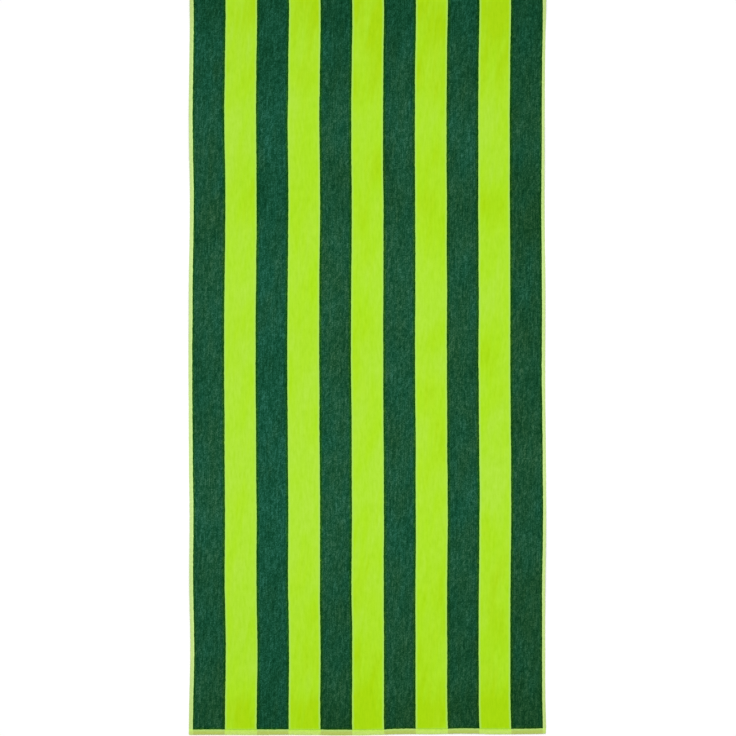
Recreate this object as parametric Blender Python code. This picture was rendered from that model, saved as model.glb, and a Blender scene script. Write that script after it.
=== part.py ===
"""Beach towel: one woven length of striped velour terry, hemmed on all four sides and lying flat.

Metres, +Z up. +X runs across the towel and +Y along it, with the velour face up. The origin is
at the middle of its bounding box, on the surface that it lies on.

The towel is one cloth, so it is one closed sheet. Its outline is drawn on a grid whose lines
follow the stripes across and the hems along, and the grid is then given its thickness: thin and
rounded at the hems, where the cloth is turned over and has no pile, and thicker over the pile.
The stripes are dyed yarn, so they change the colour and not the height.
"""

from collections import namedtuple

import bmesh
import bpy
import numpy as np

MM = 0.001

# ---- Driving dimensions --------------------------------------------------------------------

LENGTH = 1800 * MM
DARK_STRIPE = 70.5 * MM
LIME_STRIPE = 71.7 * MM
LIME_STRIPES = 5  # each lies between two dark ones
LEFT_HEM = 10.0 * MM
RIGHT_HEM = 8.5 * MM
END_HEM = 13.0 * MM
ROW_SPACING = 34 * MM  # of the grid lines across the towel, between its end hems
END_REACH = 90 * MM  # how far in from an end the wander of its edge is still felt

STRIPE_WIDTHS = [DARK_STRIPE, LIME_STRIPE] * LIME_STRIPES + [DARK_STRIPE]
WIDTH = LEFT_HEM + sum(STRIPE_WIDTHS) + RIGHT_HEM

# Section through an edge of the cloth, in millimetres. The nose is the rounded fold of the hem,
# and its insets run in from the outer edge. The shoulder is the cut edge of the pile, and its
# insets run in from the line where the pile starts.
EdgePoint = namedtuple("EdgePoint", "inset underside top")
FOLD_NOSE = (
    EdgePoint(0.0, 0.60, 1.50),
    EdgePoint(0.5, 0.15, 2.05),
    EdgePoint(1.4, 0.00, 2.30),
)
PILE_SHOULDER = (
    EdgePoint(-0.4, 0.00, 2.15),
    EdgePoint(0.5, 0.00, 2.75),
    EdgePoint(1.8, 0.00, 3.20),
)

# How far each long edge stands out from a straight line, in millimetres, at places along it.
SideSway = namedtuple("SideSway", "along left right")
SIDE_SWAY = (
    SideSway(0, 2.1, 2.4),
    SideSway(75, 0.3, 0.7),
    SideSway(180, -1.8, 0.2),
    SideSway(340, 0.2, 0.1),
    SideSway(470, -0.3, 1.8),
    SideSway(620, 1.1, 1.3),
    SideSway(830, 2.0, -0.7),
    SideSway(1000, 0.9, -0.4),
    SideSway(1200, -1.3, -1.6),
    SideSway(1400, 1.1, -1.0),
    SideSway(1520, -0.1, 0.0),
    SideSway(1630, -1.2, 1.8),
    SideSway(1720, 0.2, 0.9),
    SideSway(1800, 1.9, 2.0),
)

# The same for the two short edges, at places across them.
EndSway = namedtuple("EndSway", "across near far")
END_SWAY = (
    EndSway(0, 1.2, 0.9),
    EndSway(200, 1.1, -0.8),
    EndSway(430, 0.9, 0.6),
    EndSway(490, -0.9, 0.9),
    EndSway(550, -0.2, -0.3),
    EndSway(615, -1.4, -1.0),
    EndSway(700, -0.1, 0.2),
    EndSway(800, -1.6, 1.3),
)

# Soft ripples that lift the cloth off the surface, in millimetres, from the near end on. The
# crest crosses the towel, leaning by "lean" from the left edge to the right one, and the cloth
# lies flat between one ripple and the next.
Ripple = namedtuple("Ripple", "centre half_width left_height right_height lean")
RIPPLES = (
    Ripple(372, 270, 2.6, 3.8, 40),
    Ripple(948, 160, 3.4, 2.2, -30),
    Ripple(1318, 165, 3.8, 3.0, -24),
    Ripple(1668, 105, 2.4, 3.6, 14),
)

# Colours of the dyed yarns and of the plain-woven hem, as sRGB hex, with their roughness.
DARK_PILE = ("dark_green_pile", "1C5339", 0.95)
LIME_PILE = ("lime_pile", "ADE32B", 0.95)
HEM_CLOTH = ("lime_hem_cloth", "C4DE82", 0.85)
MATERIALS = (DARK_PILE, LIME_PILE, HEM_CLOTH)
DARK, LIME, HEM = range(len(MATERIALS))


# ---- Grid lines ----------------------------------------------------------------------------


def edge_lines(hem_width):
    """Rows of inset from the outer edge, underside and top, in metres, through one hem."""
    nose = [(point.inset * MM, point.underside * MM, point.top * MM) for point in FOLD_NOSE]
    shoulder = [
        (hem_width + point.inset * MM, point.underside * MM, point.top * MM)
        for point in PILE_SHOULDER
    ]
    return np.array(nose + shoulder)


def lines_with_edges(first_hem, inner_lines, last_hem, size):
    """Grid lines from one edge to the other: places, undersides and tops, as three arrays."""
    first, last = edge_lines(first_hem), edge_lines(last_hem)[::-1]
    last[:, 0] = size - last[:, 0]
    inner = np.empty((len(inner_lines), 3))
    inner[:] = first[-1]
    inner[:, 0] = inner_lines
    return np.concatenate([first, inner, last]).T


def stripe_lines():
    """Places across the towel: each line between two stripes, and the middle of each stripe."""
    starts = LEFT_HEM + np.cumsum([0, *STRIPE_WIDTHS])
    middles = (starts[:-1] + starts[1:]) / 2
    return np.sort(np.concatenate([starts[1:-1], middles]))


def row_lines():
    """Places along the towel, evenly spaced between the end hems."""
    shoulder = END_HEM + PILE_SHOULDER[-1].inset * MM
    count = round((LENGTH - 2 * shoulder) / ROW_SPACING)
    return np.linspace(shoulder, LENGTH - shoulder, count + 1)[1:-1]


# ---- Form ----------------------------------------------------------------------------------


def smooth_curve(at, knots, values):
    """A cubic through the table's rows that keeps its slope from one row to the next."""
    knots, values = np.array(knots, float), np.array(values, float)
    slopes = np.gradient(values, knots)
    row = np.clip(np.searchsorted(knots, at, side="right") - 1, 0, len(knots) - 2)
    span = knots[row + 1] - knots[row]
    t = (at - knots[row]) / span
    return (
        (2 * t**3 - 3 * t**2 + 1) * values[row]
        + (t**3 - 2 * t**2 + t) * span * slopes[row]
        + (3 * t**2 - 2 * t**3) * values[row + 1]
        + (t**3 - t**2) * span * slopes[row + 1]
    )


def from_table(table, column, at):
    """One column of a table of millimetres, read at places in metres."""
    knots = [row[0] for row in table]
    values = [getattr(row, column) for row in table]
    return smooth_curve(at / MM, knots, values) * MM


def near_an_end(distance):
    """1 at the end's edge, easing to 0 at END_REACH from it."""
    t = np.clip(distance / END_REACH, 0, 1)
    return 1 - t * t * (3 - 2 * t)


def outline_places(across, along):
    """X and Y of each grid point: the wander of the edges, shared out between them."""
    share = across / WIDTH
    left = -from_table(SIDE_SWAY, "left", along) * (1 - share)
    right = from_table(SIDE_SWAY, "right", along) * share
    near = -from_table(END_SWAY, "near", across) * near_an_end(along)
    far = from_table(END_SWAY, "far", across) * near_an_end(LENGTH - along)
    return across + left + right, along + near + far


def ripple_lift(across, along):
    """Height of the underside: each ripple is a raised cosine, and 0 outside its half width."""
    share = across / WIDTH
    lift = np.zeros(np.broadcast(across, along).shape)
    for ripple in RIPPLES:
        crest = (ripple.centre + ripple.lean * (share - 0.5)) * MM
        height = (ripple.left_height * (1 - share) + ripple.right_height * share) * MM
        away = np.clip(np.abs(along - crest) / (ripple.half_width * MM), 0, 1)
        lift = lift + height * (1 + np.cos(np.pi * away)) / 2
    return lift


def sheet_places():
    """Two arrays of places, rows by columns by XYZ: the underside's and the top's."""
    across, under_across, top_across = lines_with_edges(LEFT_HEM, stripe_lines(), RIGHT_HEM, WIDTH)
    along, under_along, top_along = lines_with_edges(END_HEM, row_lines(), END_HEM, LENGTH)
    across, along = across[None, :], along[:, None]
    x, y = outline_places(across, along)
    lift = ripple_lift(across, along)
    x = x - (x.min() + x.max()) / 2
    y = y - (y.min() + y.max()) / 2
    underside = lift + np.maximum(under_across[None, :], under_along[:, None])
    top = lift + np.minimum(top_across[None, :], top_along[:, None])
    return np.stack([x, y, underside], axis=2), np.stack([x, y, top], axis=2)


# ---- Materials -----------------------------------------------------------------------------


def linear(srgb_hex):
    """Linear RGBA of an sRGB hex colour."""
    values = np.array([int(srgb_hex[i : i + 2], 16) / 255 for i in (0, 2, 4)])
    low, high = values / 12.92, ((values + 0.055) / 1.055) ** 2.4
    return (*np.where(values <= 0.04045, low, high).tolist(), 1.0)


def cloth_material(name, srgb_hex, roughness):
    material = bpy.data.materials.new(name)
    material.use_nodes = True
    shader = material.node_tree.nodes["Principled BSDF"]
    shader.inputs["Base Color"].default_value = linear(srgb_hex)
    shader.inputs["Roughness"].default_value = roughness
    shader.inputs["Metallic"].default_value = 0.0
    material.diffuse_color = linear(srgb_hex)
    return material


def column_materials():
    """The material between each two grid lines across: hem, stripes in turn, hem."""
    hem_spaces = len(FOLD_NOSE)
    shoulder_spaces = len(PILE_SHOULDER) - 1
    stripes = []
    for index in range(len(STRIPE_WIDTHS)):
        stripes += [DARK if index % 2 == 0 else LIME] * 2
    stripes = [DARK] * shoulder_spaces + stripes + [DARK] * shoulder_spaces
    return [HEM] * hem_spaces + stripes + [HEM] * hem_spaces


# ---- Cloth ---------------------------------------------------------------------------------


def build_towel():
    """A grid extruded into a sheet, with each of its points then moved to its place."""
    underside, top = sheet_places()
    rows, columns = underside.shape[:2]
    colours = column_materials()
    hem_rows = len(FOLD_NOSE)

    bm = bmesh.new()
    bmesh.ops.create_grid(bm, x_segments=columns - 1, y_segments=rows - 1, size=0.5)
    raised = bmesh.ops.extrude_face_region(bm, geom=bm.faces[:], use_keep_orig=True)["geom"]
    raised = {item for item in raised if isinstance(item, bmesh.types.BMVert)}

    def row_and_column(point):
        return (point.y + 0.5) * (rows - 1), (point.x + 0.5) * (columns - 1)

    for face in bm.faces:
        row, column = row_and_column(face.calc_center_median())
        in_hem = not hem_rows < row < rows - 1 - hem_rows
        on_rim = min(column, columns - 1 - column) < 0.25
        face.material_index = HEM if in_hem or on_rim else colours[int(column)]
        face.smooth = True

    for vert in bm.verts:
        row, column = (round(value) for value in row_and_column(vert.co))
        vert.co = (top if vert in raised else underside)[row, column]

    bmesh.ops.recalc_face_normals(bm, faces=bm.faces)
    mesh = bpy.data.meshes.new("towel_cloth")
    bm.to_mesh(mesh)
    bm.free()
    for settings in MATERIALS:
        mesh.materials.append(cloth_material(*settings))

    towel = bpy.data.objects.new("towel_cloth", mesh)
    bpy.context.scene.collection.objects.link(towel)
    return towel


for old in list(bpy.data.objects):
    bpy.data.objects.remove(old)
build_towel()
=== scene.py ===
# %% [markdown]
# # A striped velour beach towel
#
# The real towel is one length of cotton terry. It is woven with loops of pile yarn on both faces,
# and the loops of the upper face are then sheared off, which leaves a short velvety pile that is
# called velour. The stripes are dyed yarn. All four edges are turned under and stitched.
#
# The plan: lay out the flat cloth as two coordinates, "across" and "along", write one function that
# says where each point of the cloth lies in space, and then build every layer of the towel as a
# grid of those points. Each layer follows the same ripples, because it asks the same function.

import math

import bpy
import numpy as np
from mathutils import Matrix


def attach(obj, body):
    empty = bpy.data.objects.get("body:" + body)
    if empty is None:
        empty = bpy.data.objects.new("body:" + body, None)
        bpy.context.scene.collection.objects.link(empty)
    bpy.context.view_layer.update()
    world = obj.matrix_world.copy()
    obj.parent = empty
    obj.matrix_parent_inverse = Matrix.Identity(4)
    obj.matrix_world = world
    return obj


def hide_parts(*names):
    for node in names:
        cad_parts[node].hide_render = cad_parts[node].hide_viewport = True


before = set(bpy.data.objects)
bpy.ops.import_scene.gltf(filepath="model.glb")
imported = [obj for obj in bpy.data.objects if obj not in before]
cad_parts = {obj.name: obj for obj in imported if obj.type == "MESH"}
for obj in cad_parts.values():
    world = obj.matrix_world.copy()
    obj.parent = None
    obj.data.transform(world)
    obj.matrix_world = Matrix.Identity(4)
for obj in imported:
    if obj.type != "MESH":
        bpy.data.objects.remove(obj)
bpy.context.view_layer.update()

# %% [markdown]
# ## The flat cloth
#
# A weaver lays out a towel like this from one edge to the other: a plain selvage for the hem, then
# the stripes in turn, then the other selvage. These few sizes fix the place of everything else.

# %% Sizes of the flat cloth
MM = 0.001  # one millimetre in Blender's metres

LENGTH = 1800 * MM
DARK_STRIPE = 70.5 * MM
LIME_STRIPE = 71.7 * MM
STRIPES = 11  # dark ones and lime ones in turn, with a dark one on both outer sides
LEFT_HEM = 10.0 * MM
RIGHT_HEM = 8.5 * MM
END_HEM = 13.0 * MM

stripe_widths = [LIME_STRIPE if index % 2 else DARK_STRIPE for index in range(STRIPES)]
stripe_lines = LEFT_HEM + np.cumsum([0.0, *stripe_widths])  # where one stripe meets the next
WIDTH = stripe_lines[-1] + RIGHT_HEM
print(f"flat cloth {WIDTH / MM:.1f} x {LENGTH / MM:.0f} mm, stripes of {DARK_STRIPE / MM} and "
      f"{LIME_STRIPE / MM} mm")

# %% [markdown]
# ## How the cloth lies
#
# Nobody lays a towel down perfectly. Its long edges wander by a millimetre or two, its ends are not
# quite straight, and a few soft ripples cross it where it was unfolded. Each of these is a short
# table of places and sizes. A smooth curve through a table's rows gives the value between them.

# %% A smooth curve through the rows of a table
def smooth_curve(at, knots, values):
    """A cubic between each two rows. It passes through the rows and keeps its slope at each one."""
    knots, values = np.array(knots, float), np.array(values, float)
    slopes = np.gradient(values, knots)
    row = np.clip(np.searchsorted(knots, at, side="right") - 1, 0, len(knots) - 2)
    span = knots[row + 1] - knots[row]
    t = (at - knots[row]) / span
    return (
        (2 * t**3 - 3 * t**2 + 1) * values[row]
        + (t**3 - 2 * t**2 + t) * span * slopes[row]
        + (3 * t**2 - 2 * t**3) * values[row + 1]
        + (t**3 - t**2) * span * slopes[row + 1]
    )


def ease(share):
    """0 up to a share of 0, 1 from a share of 1 on, and a soft S between them."""
    share = np.clip(share, 0, 1)
    return share * share * (3 - 2 * share)


print("a quarter of the way along, the soft S is at", round(float(ease(0.25)), 3))

# %% Tables of edges, ripples and creases, in millimetres
# How far the long edges stand out from a straight line, at places along them.
SIDE_ALONG = (0, 75, 180, 340, 470, 620, 830, 1000, 1200, 1400, 1520, 1630, 1720, 1800)
LEFT_SWAY = (1.2, 0.0, -2.2, -0.2, -0.7, 0.7, 1.5, 0.5, -1.4, 1.1, 0.0, -1.1, 0.2, 1.9)
RIGHT_SWAY = (2.4, 0.5, -0.1, -0.1, 1.8, 1.4, -0.4, -0.1, -1.6, -1.1, -0.1, 1.7, 0.9, 2.0)

# The same for the two short edges, at places across them.
END_ACROSS = (0, 200, 430, 490, 550, 615, 700, 800)
NEAR_SWAY = (1.2, 1.1, 0.9, -0.9, -0.2, -1.4, -0.1, -1.6)
FAR_SWAY = (0.9, -0.8, 0.6, 0.9, -0.3, -1.0, 0.2, 1.3)
END_REACH = 90 * MM  # how far in from an end its wander is still felt

# Between the two long edges the stripes sway by themselves, because the cloth gives a little: how
# far the middle of the cloth moves to the right, and how far its left and right halves draw
# together, or part where the number is negative.
SWAY_ALONG = (0, 110, 220, 330, 490, 540, 705, 760, 920, 1140, 1300, 1460, 1620, 1800)
MIDDLE_SWAY = (0.8, 0.5, 0.0, 0.0, -0.5, -0.4, 0.1, 0.0, -0.5, 0.0, 0.0, 0.3, 0.1, -0.1)
HALVES_SWAY = (0.0, -0.1, -0.3, -0.75, -1.0, -1.0, -0.9, -0.9, -0.9, -0.75, -0.5, -0.35, -0.2, 0.0)

# Ripples: place of the crest, half width, height at the left and the right edge, and how much
# further along the crest is at the right edge than at the left one.
RIPPLES = (
    (372, 270, 2.6, 3.8, 40),
    (948, 160, 3.4, 2.2, -30),
    (1318, 165, 3.8, 3.0, -24),
    (1668, 105, 2.4, 3.6, 14),
)

# Faint creases left by folding: place across and along, half length, half width, turn from the
# cross direction in degrees, and height. Three of them make up one broken diagonal line.
CREASES = (
    (338, 1318, 62, 6.5, -41, 0.55),
    (432, 1236, 55, 6.0, -43, 0.40),
    (538, 1142, 70, 7.0, -41, 0.45),
    (615, 1060, 40, 6.0, -35, 0.25),
    (150, 905, 75, 8.0, 68, 0.30),
    (560, 470, 85, 7.5, 76, 0.35),
    (470, 245, 60, 7.0, 74, 0.30),
    (110, 395, 70, 9.0, -20, 0.25),
)
print("the cloth lies in", len(RIPPLES), "ripples and", len(CREASES), "faint creases")

# %% Where a point of the cloth lies
def wander(across, along):
    """Sideways and lengthways moves: each edge's own wander, shared out between opposite edges, and
    between the long edges half a sine wave for the middle and a whole one for the two halves."""
    share = across / WIDTH
    left = smooth_curve(along / MM, SIDE_ALONG, LEFT_SWAY) * MM
    right = smooth_curve(along / MM, SIDE_ALONG, RIGHT_SWAY) * MM
    near = smooth_curve(across / MM, END_ACROSS, NEAR_SWAY) * MM
    far = smooth_curve(across / MM, END_ACROSS, FAR_SWAY) * MM
    middle = smooth_curve(along / MM, SWAY_ALONG, MIDDLE_SWAY) * MM
    halves = smooth_curve(along / MM, SWAY_ALONG, HALVES_SWAY) * MM
    sideways = right * share - left * (1 - share)
    sideways = sideways + middle * np.sin(np.pi * share) + halves * np.sin(2 * np.pi * share)
    near_share, far_share = 1 - ease(along / END_REACH), 1 - ease((LENGTH - along) / END_REACH)
    return sideways, far * far_share - near * near_share


def lift(across, along):
    """Height of the underside: over each ripple one cosine wave from foot to foot, and over each
    crease a bell curve of the distance along it and of the distance from it."""
    share, height = across / WIDTH, 0.0
    for centre, half_width, left, right, lean in RIPPLES:
        away = np.abs(along / MM - centre - lean * (share - 0.5)) / half_width
        wave = (1 + np.cos(np.pi * np.clip(away, 0, 1))) / 2
        height = height + (left + (right - left) * share) * wave
    for centre_across, centre_along, half_length, half_width, turn, crest in CREASES:
        sideways, lengthways = across / MM - centre_across, along / MM - centre_along
        c, s = math.cos(math.radians(turn)), math.sin(math.radians(turn))
        u = (sideways * c + lengthways * s) / half_length
        v = (lengthways * c - sideways * s) / half_width
        height = height + crest * np.exp(-(u**2 + v**2) / 2)
    return height * MM


# The edges are measured at a place every millimetre, and the origin lies in their middle.
edge_places = np.linspace(0, LENGTH, round(LENGTH / MM) + 1)
end_places = np.linspace(0, WIDTH, round(WIDTH / MM) + 1)
left_edge, right_edge = (wander(side, edge_places)[0] + side for side in (0.0, WIDTH))
near_edge, far_edge = (wander(end_places, end)[1] + end for end in (0.0, LENGTH))
MIDDLE_X = (left_edge.min() + right_edge.max()) / 2
MIDDLE_Y = (near_edge.min() + far_edge.max()) / 2


def lay(across, along, height):
    """The place in space of points of the cloth, as rows of XYZ. Height is above the underside."""
    across, along, height = np.broadcast_arrays(across, along, height)
    sideways, lengthways = wander(across, along)
    x, y = across + sideways - MIDDLE_X, along + lengthways - MIDDLE_Y
    return np.stack([x, y, lift(across, along) + height], axis=-1)


# %% [markdown]
# ## Unevenness
#
# Pile is never even. Tufts stand a little higher or lower than their neighbours, and a hand's touch
# leaves whole patches leaning one way. Both are random, but not like the snow on an empty screen:
# they have a size, and they run lengthways, because the pile was brushed that way.
#
# One way to get this is to stack octaves of a noise texture. Here random numbers are drawn once for
# the whole cloth, one a millimetre, and then smoothed to the wanted size. The same numbers can then
# shape the mesh and colour it, so a high tuft is also a pale one, as on real cloth.

# %% Random patches of a chosen size
def patches(wide, long, lean, seed):
    """Random numbers over the whole cloth with mean 0 and spread 1, one a millimetre.

    White noise is taken apart into waves. Each wave is multiplied by a bell curve of its number of
    crests per metre, so that waves shorter than the patch fade out, and the waves are added up
    again. "Lean" is how far a patch drifts to the right for each step along the cloth."""
    rows, columns = round(LENGTH / MM) + 1, round(WIDTH / MM) + 1
    white = np.random.default_rng(seed).standard_normal((rows, columns))
    up = np.fft.fftfreq(rows, MM)[:, None]
    right = np.fft.rfftfreq(columns, MM)[None, :]
    tilt = math.hypot(1, lean)
    lengthways, crossways = (up + lean * right) / tilt, (right - lean * up) / tilt
    bell = np.exp(-2 * ((math.pi * long * lengthways) ** 2 + (math.pi * wide * crossways) ** 2))
    made = np.fft.irfft2(np.fft.rfft2(white) * bell, s=white.shape)
    return (made - made.mean()) / made.std()


def read(numbers, across, along):
    """The patches' value at places on the cloth, shared out between the four nearest numbers. The
    places stop just short of the last row and column, so that there is always a next one."""
    column = np.clip(across / MM, 0, numbers.shape[1] - 1.001)
    row = np.clip(along / MM, 0, numbers.shape[0] - 1.001)
    c, r = column.astype(int), row.astype(int)
    right, up = column - c, row - r
    below = (1 - right) * numbers[r, c] + right * numbers[r, c + 1]
    above = (1 - right) * numbers[r + 1, c] + right * numbers[r + 1, c + 1]
    return (1 - up) * below + up * above


tufts = patches(0.9 * MM, 1.9 * MM, 0.10, seed=11)
streaks = patches(2.6 * MM, 18 * MM, 0.12, seed=12)
strokes = patches(13 * MM, 30 * MM, 0.20, seed=13)
ragged = patches(1.2 * MM, 1.6 * MM, 0.0, seed=14)
hues = patches(11 * MM, 26 * MM, 0.10, seed=15)
tints = patches(3 * MM, 11 * MM, 0.12, seed=17)
scallops = patches(2.0 * MM, 2.4 * MM, 0.0, seed=16)
print("patches drawn for", tufts.size, "places")

# %% [markdown]
# ## From numbers to a mesh
#
# Blender can take a whole mesh at once: a list of places, and for each face the numbers of its
# corners. Giving it arrays is hundreds of times faster than adding points one by one. The order of
# a face's corners says which of its sides is the outer one, so a body that comes out inside out is
# turned over.
#
# Each piece gets a UV map called "cloth", which holds the flat cloth's own coordinates in metres,
# so that a pattern follows the weave whatever the folds do. All but the stitches get a second one,
# which spreads the faces over a square image side by side.

# %% Turn an inside-out body over
def facing_out(places, faces):
    """True if a closed mesh's faces point outwards: its volume, added up as pyramids from the
    origin over the faces' triangles, is then positive."""
    volume = 0.0
    for corners in faces:
        p = places[corners]
        first, second, third = p[:, :1], p[:, 1:-1], p[:, 2:]
        volume += np.sum(np.cross(np.broadcast_to(first, second.shape), second) * third)
    return volume > 0


def turned_over(faces, picture_map):
    """The same faces with their corners in the opposite order. So are the rows of the picture map,
    which has one for each corner, where there is a map."""
    if picture_map is not None:
        ends = np.cumsum([corners.size for corners in faces])
        picture_map = np.concatenate([
            rows.reshape(*corners.shape, 2)[:, ::-1].reshape(-1, 2)
            for rows, corners in zip(np.split(picture_map, ends[:-1]), faces)
        ])
    return [corners[:, ::-1] for corners in faces], picture_map


# %% Spread faces over a square
def unfolded(across, along, column):
    """A UV map made of columns side by side, from each face corner's place and its column. The map
    is then shrunk to fill a square."""
    gap = 1.5 * MM
    sizes, starts = [], []
    for number in range(column.max() + 1):
        here = column == number
        starts.append((across[here].min(), along[here].min()))
        sizes.append((np.ptp(across[here]), np.ptp(along[here])))
    starts, sizes = np.array(starts), np.array(sizes)
    rights = np.cumsum(sizes[:, 0] + gap)
    u = across - starts[column, 0] + (rights - sizes[:, 0] - gap / 2)[column]
    v = along - starts[column, 1] + gap / 2
    return np.stack([u / rights[-1], v / (sizes[:, 1].max() + gap)], axis=-1)


# %% Build a mesh object from arrays
def make_piece(name, across, along, height, faces, picture_map=None, **values):
    """A mesh object of cloth points. Faces are integer arrays with one face a row, and each named
    value is stored for each point, where a material can read it."""
    places = lay(across, along, height)
    if not facing_out(places, faces):
        faces, picture_map = turned_over(faces, picture_map)
    corners = np.concatenate([corners.ravel() for corners in faces])
    sizes = np.concatenate([np.full(len(corners), corners.shape[1]) for corners in faces])
    mesh = bpy.data.meshes.new(name)
    mesh.vertices.add(len(places))
    mesh.vertices.foreach_set("co", places.ravel().astype(np.float32))
    mesh.loops.add(len(corners))
    mesh.loops.foreach_set("vertex_index", corners.astype(np.int32))
    mesh.polygons.add(len(sizes))
    mesh.polygons.foreach_set("loop_start", (np.cumsum(sizes) - sizes).astype(np.int32))
    mesh.update(calc_edges=True)
    if mesh.validate():
        raise ValueError(f"{name} had faces that had to be mended")
    mesh.shade_smooth()
    flat = np.stack([across, along], axis=-1)[corners]
    mesh.uv_layers.new(name="cloth").data.foreach_set("uv", flat.ravel().astype(np.float32))
    if picture_map is not None:
        own = mesh.uv_layers.new(name="OFBake")
        own.data.foreach_set("uv", picture_map.ravel().astype(np.float32))
        mesh.uv_layers["cloth"].active_render = True
    for value_name, value in values.items():
        stored = mesh.attributes.new(value_name, "FLOAT", "POINT")
        stored.data.foreach_set("value", np.broadcast_to(value, across.shape).astype(np.float32))
    piece = bpy.data.objects.new(name, mesh)
    bpy.context.scene.collection.objects.link(piece)
    piece["triangles"] = int((sizes - 2).sum())
    return piece


# %% [markdown]
# ## A slab: fine on one side, plain on the other
#
# The pile and the loops are thin layers. Only one side of each can be seen, so that side gets a
# fine grid. Round it runs a low wall, and the hidden side is closed with one long strip for each
# row, which costs almost nothing. Every layer is then a closed body.

# %% The faces of a slab
def ring(grid):
    """The numbers round a grid, from its first corner, first along its first row."""
    return np.concatenate([grid[0, :-1], grid[:-1, -1], grid[-1, :0:-1], grid[:0:-1, 0]])


def slab_faces(rows, columns):
    """The grid's faces, the walls' faces, the hidden strips, and the hidden first and last strips,
    which have many corners because a whole wall ends on each."""
    grid = np.arange(rows * columns).reshape(rows, columns)
    shown = np.stack([grid[:-1, :-1], grid[:-1, 1:], grid[1:, 1:], grid[1:, :-1]], -1).reshape(-1, 4)
    high = ring(grid)
    low = rows * columns + np.arange(len(high))
    walls = np.stack([low, np.roll(low, -1), np.roll(high, -1), high], -1)
    right = low[columns - 1 : columns - 1 + rows]
    left = np.concatenate([low[2 * columns + rows - 3 :], low[:1]])[::-1]
    strips = np.stack([left[1:-2], left[2:-1], right[2:-1], right[1:-2]], -1)
    first = np.concatenate([left[:2], right[1:2], low[columns - 1 : 0 : -1]])[None]
    last_row = low[columns + rows - 2 : 2 * columns + rows - 2][::-1]
    last = np.concatenate([left[-2:-1], last_row, right[-2:-1]])[None]
    return [shown, walls, strips, first, last]


print("a slab of 3 by 3 points has", sum(len(corners) for corners in slab_faces(3, 3)), "faces")

# %% A slab of cloth points
HIDDEN_COLUMN = 3 * MM  # width of the hidden side on the picture map, where nobody looks
WALL_COLUMN = 2 * MM  # width of a wall on that map, although it has none seen from above


def slab_picture_map(across, along, faces, rows, columns, folds):
    """Columns of equal length for the shown side with its walls, and a thin one for the hidden
    side. A face's column comes from its row."""
    per_fold = math.ceil((rows - 1) / folds)
    row_of_shown = np.repeat(np.arange(rows - 1), columns - 1)
    bottom, top = np.zeros(columns - 1, int), np.full(columns - 1, rows - 2)
    row_of_walls = np.concatenate([bottom, np.arange(rows - 1), top, np.arange(rows - 1)[::-1]])
    column = np.repeat(np.concatenate([row_of_shown, row_of_walls]) // per_fold, 4)
    hidden = np.concatenate([corners.ravel() for corners in faces[2:]])
    corners = np.concatenate([corners.ravel() for corners in faces])
    seen = len(corners) - len(hidden)
    u, v = across[corners], along[corners]
    u[seen:] = (u[seen:] - across.min()) / np.ptp(across) * HIDDEN_COLUMN
    v[seen:] = v[seen:] / folds
    return unfolded(u, v, np.concatenate([column, np.full(len(hidden), folds)]))


def make_slab(name, across, along, shown_height, hidden_height, folds, **values):
    """A slab from two-dimensional arrays of places and of the shown side's height."""
    rows, columns = across.shape
    faces = slab_faces(rows, columns)

    def with_ring(numbers):
        """A value for each point: the grid's own, and for the hidden rim the ring's once more."""
        numbers = np.broadcast_to(numbers, across.shape)
        return np.concatenate([numbers.ravel(), ring(numbers)])

    rim = np.full(2 * (rows + columns) - 4, float(hidden_height))
    height = np.concatenate([shown_height.ravel(), rim])
    flat_across, flat_along = with_ring(across), with_ring(along)
    # On the picture map the walls lie flat round the shown side, so they need a width there.
    spread = np.zeros((2, rows, columns))
    spread[0, :, 0], spread[0, :, -1] = -WALL_COLUMN, WALL_COLUMN
    spread[1, 0, :], spread[1, -1, :] = -WALL_COLUMN, WALL_COLUMN
    out = [np.concatenate([np.zeros(across.size), ring(moves)]) for moves in spread]
    own_map = slab_picture_map(flat_across + out[0], flat_along + out[1], faces, rows, columns, folds)
    values = {value_name: with_ring(value) for value_name, value in values.items()}
    return make_piece(name, flat_across, flat_along, height, faces, own_map, **values)

# %% [markdown]
# ## The terry cloth with its loop back
#
# The woven ground carries everything else, and its underside is covered with the loops that were
# not sheared. Together they reach from 1.6 mm down to the surface that the towel lies on. Inside
# the hems the loops are pressed flat, and the cloth is less than half as thick there. Clusters of
# loops make the underside uneven. Single loops are finer than this grid, so the material adds
# those as bump.

# %% The terry cloth
GROUND_TOP = 1.6 * MM  # heights are above the surface that the towel lies on
PRESSED_RISE = 0.8 * MM  # how much higher the underside is inside a hem
PRESSED_REACH = 2.5 * MM  # how far in from a hem the underside is still raised
CLOTH_INSET = 2.5 * MM  # from the towel's outer edge to the edge of this cloth, inside the hem
LOOP_DEPTH = 0.28 * MM
BACK_CELL = (5.0 * MM, 5.4 * MM)  # width and length of the grid's cells


def spaced(first, last, spacing, edge_steps):
    """Places from first to last: given steps in from both ends, and even ones between them."""
    inner_first, inner_last = first + edge_steps[-1], last - edge_steps[-1]
    count = max(2, round((inner_last - inner_first) / spacing))
    inner = np.linspace(inner_first, inner_last, count + 1)[1:-1]
    return np.concatenate([first + edge_steps, inner, last - edge_steps[::-1]])


def from_edge(across, along):
    """How far a place is inside the lines where the hems end. It is negative on a hem."""
    sides = np.minimum(across - LEFT_HEM, WIDTH - RIGHT_HEM - across)
    ends = np.minimum(along, LENGTH - along) - END_HEM
    return np.minimum(sides, ends)


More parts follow.
